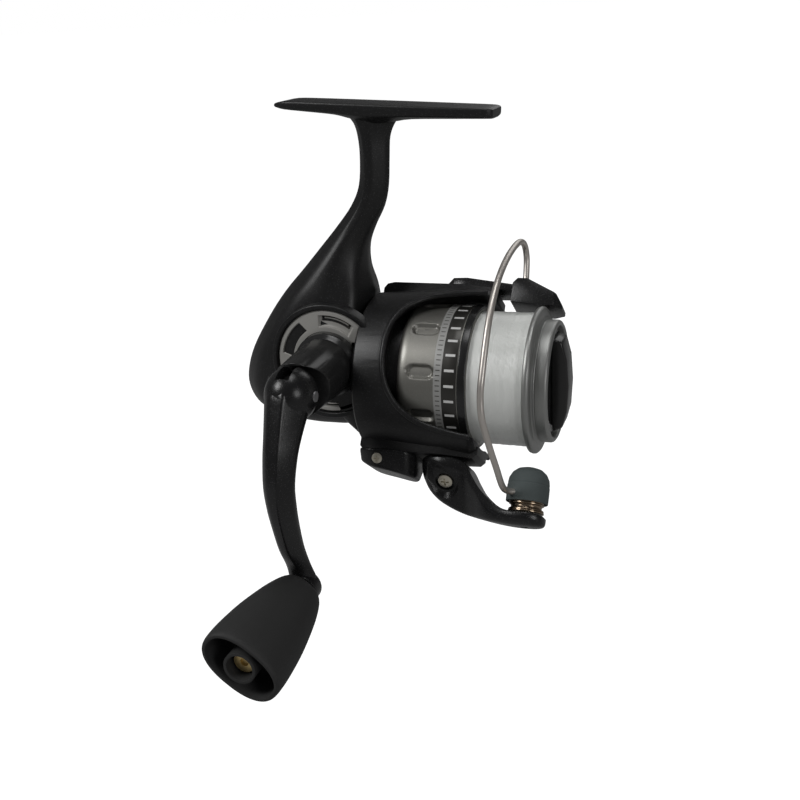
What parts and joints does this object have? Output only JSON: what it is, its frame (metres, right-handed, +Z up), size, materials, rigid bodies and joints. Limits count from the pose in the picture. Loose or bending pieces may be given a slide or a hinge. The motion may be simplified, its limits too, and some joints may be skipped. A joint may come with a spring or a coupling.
{
  "type": "open-face spinning reel",
  "caption": "Open-face fishing reel with a foot and stem, geared rotor, folding wire bail and line roller, cranked handle with a turning knob, and a sliding spool with front drag.",
  "frame": {"origin": "centre of the reel foot's top face, where the reel is held under a rod", "axes": "+X forward along the spool axis, +Z up towards the rod, -Y the handle side"},
  "size_m": [0.1005, 0.1154, 0.144],
  "materials": {
    "case_black": "satin, fine sparkle grain",
    "gloss_black": "semi-gloss black enamel",
    "knob_black": "matt moulded",
    "trim_black": "gloss black",
    "plate_silver": "satin silver, fine grain",
    "drag_silver": "satin silver",
    "spool_metallic": "metallic gunmetal lacquer",
    "lip_metallic": "satin grey metallic",
    "line_clear": "clear monofilament wound in many turns",
    "wire_steel": "polished wire",
    "bright_steel": "ground",
    "screw_nickel": "nickel-plated",
    "gear_brass": "machined",
    "gear_zinc": "die cast",
    "cap_rubber": "dark grey-green, smooth",
    "felt": "pressed felt",
    "nylon": "natural nylon"
  },
  "bodies": {
    "housing": {"body_housing": "case_black", "side_cover": "case_black", "side_cover_screws": "screw_nickel", "handle_side_plate": "plate_silver", "drive_bearing_near": "bright_steel", "drive_bearing_far": "bright_steel", "pinion_bearing": "bright_steel", "one_way_clutch": "bright_steel", "clutch_retainer": "bright_steel", "clutch_retainer_screws": "screw_nickel", "guide_rod": "bright_steel"},
    "crank": {"drive_gear": "gear_zinc", "drive_shaft": "bright_steel", "oscillation_pinion": "gear_zinc", "handle_collar": "gloss_black", "handle_fold_pin": "bright_steel", "handle_screw_cap": "gloss_black"},
    "oscillation_wheel": {"oscillation_gear": "gear_zinc"},
    "folding_arm": {"handle_arm": "gloss_black", "knob_spindle": "bright_steel", "knob_screw": "screw_nickel"},
    "grip": {"handle_knob": "knob_black"},
    "rotor_head": {"rotor": "case_black", "pinion_gear": "gear_brass", "clutch_sleeve": "bright_steel", "rotor_nut": "gear_brass", "rotor_arm_cover_near": "case_black", "rotor_arm_cover_far": "case_black", "arm_cover_screw_near": "screw_nickel", "arm_cover_screw_far": "screw_nickel", "bail_spring": "bright_steel", "bail_pivot_screw_far": "screw_nickel"},
    "bail": {"bail_pivot_screw_near": "screw_nickel", "bail_lever_near": "case_black", "bail_lever_far": "case_black", "bail_wire": "wire_steel", "bail_roller_cap": "cap_rubber", "line_roller_bush": "nylon", "line_roller_screw": "screw_nickel"},
    "roller": {"line_roller": "gear_brass"},
    "spool_shaft": {"main_shaft": "bright_steel", "oscillation_slider": "gear_zinc", "slider_screw": "screw_nickel", "drag_metal_washer_1": "bright_steel", "drag_metal_washer_2": "bright_steel"},
    "spool_assembly": {"spool": "spool_metallic", "skirt_trim_ring": "trim_black", "spool_lip_ring": "lip_metallic", "line_winding": "line_clear", "drag_felt_washer_1": "felt", "drag_felt_washer_2": "felt", "drag_retainer_clip": "bright_steel", "click_gear": "nylon"},
    "drag_control": {"drag_knob": "drag_silver", "drag_knob_grip": "gloss_black", "drag_spring": "bright_steel"},
    "anti_reverse": {"anti_reverse_lever": "gloss_black"}
  },
  "joints": [
    {"name": "handle_turn", "type": "hinge", "parent": "housing", "child": "crank", "pos_m": [-0.0166, 0, -0.0739], "axis": [0, 1, 0], "continuous": true},
    {"name": "oscillation_turn", "type": "hinge", "parent": "housing", "child": "oscillation_wheel", "pos_m": [-0.0305, 0, -0.0813], "axis": [0, 1, 0], "continuous": true},
    {"name": "handle_fold", "type": "hinge", "parent": "crank", "child": "folding_arm", "pos_m": [-0.0166, -0.0444, -0.0739], "axis": [-1, 0, 0], "range_deg": [0, 90]},
    {"name": "knob_spin", "type": "hinge", "parent": "folding_arm", "child": "grip", "pos_m": [-0.0166, -0.06, -0.1328], "axis": [0, 1, 0], "continuous": true},
    {"name": "rotor_spin", "type": "hinge", "parent": "housing", "child": "rotor_head", "pos_m": [0.003, 0, -0.0813], "axis": [1, 0, 0], "continuous": true},
    {"name": "bail_flip", "type": "hinge", "parent": "rotor_head", "child": "bail", "pos_m": [0.0194, 0, -0.0813], "axis": [0, 0.5807, 0.8141], "range_deg": [0, 105], "stiffness_Nm_per_rad": 0.01, "springref_deg": -28.65},
    {"name": "roller_spin", "type": "hinge", "parent": "bail", "child": "roller", "pos_m": [0.0445, 0, -0.0813], "axis": [0, 0.5807, 0.8141], "continuous": true},
    {"name": "spool_stroke", "type": "slide", "parent": "housing", "child": "spool_shaft", "axis": [1, 0, 0], "range_m": [0, 0.014]},
    {"name": "spool_drag_turn", "type": "hinge", "parent": "spool_shaft", "child": "spool_assembly", "pos_m": [0.033, 0, -0.0813], "axis": [1, 0, 0], "continuous": true},
    {"name": "drag_knob_turn", "type": "hinge", "parent": "spool_shaft", "child": "drag_control", "pos_m": [0.047, 0, -0.0813], "axis": [1, 0, 0], "range_deg": [-360, 720]},
    {"name": "anti_reverse_switch", "type": "hinge", "parent": "housing", "child": "anti_reverse", "pos_m": [-0.037, 0.005, -0.0957], "axis": [0, -1, 0], "range_deg": [0, 18]}
  ],
  "couplings": [
    {"joint": "rotor_spin", "follows": "handle_turn", "ratio": 5},
    {"joint": "oscillation_turn", "follows": "handle_turn", "ratio": -0.5}
  ]
}
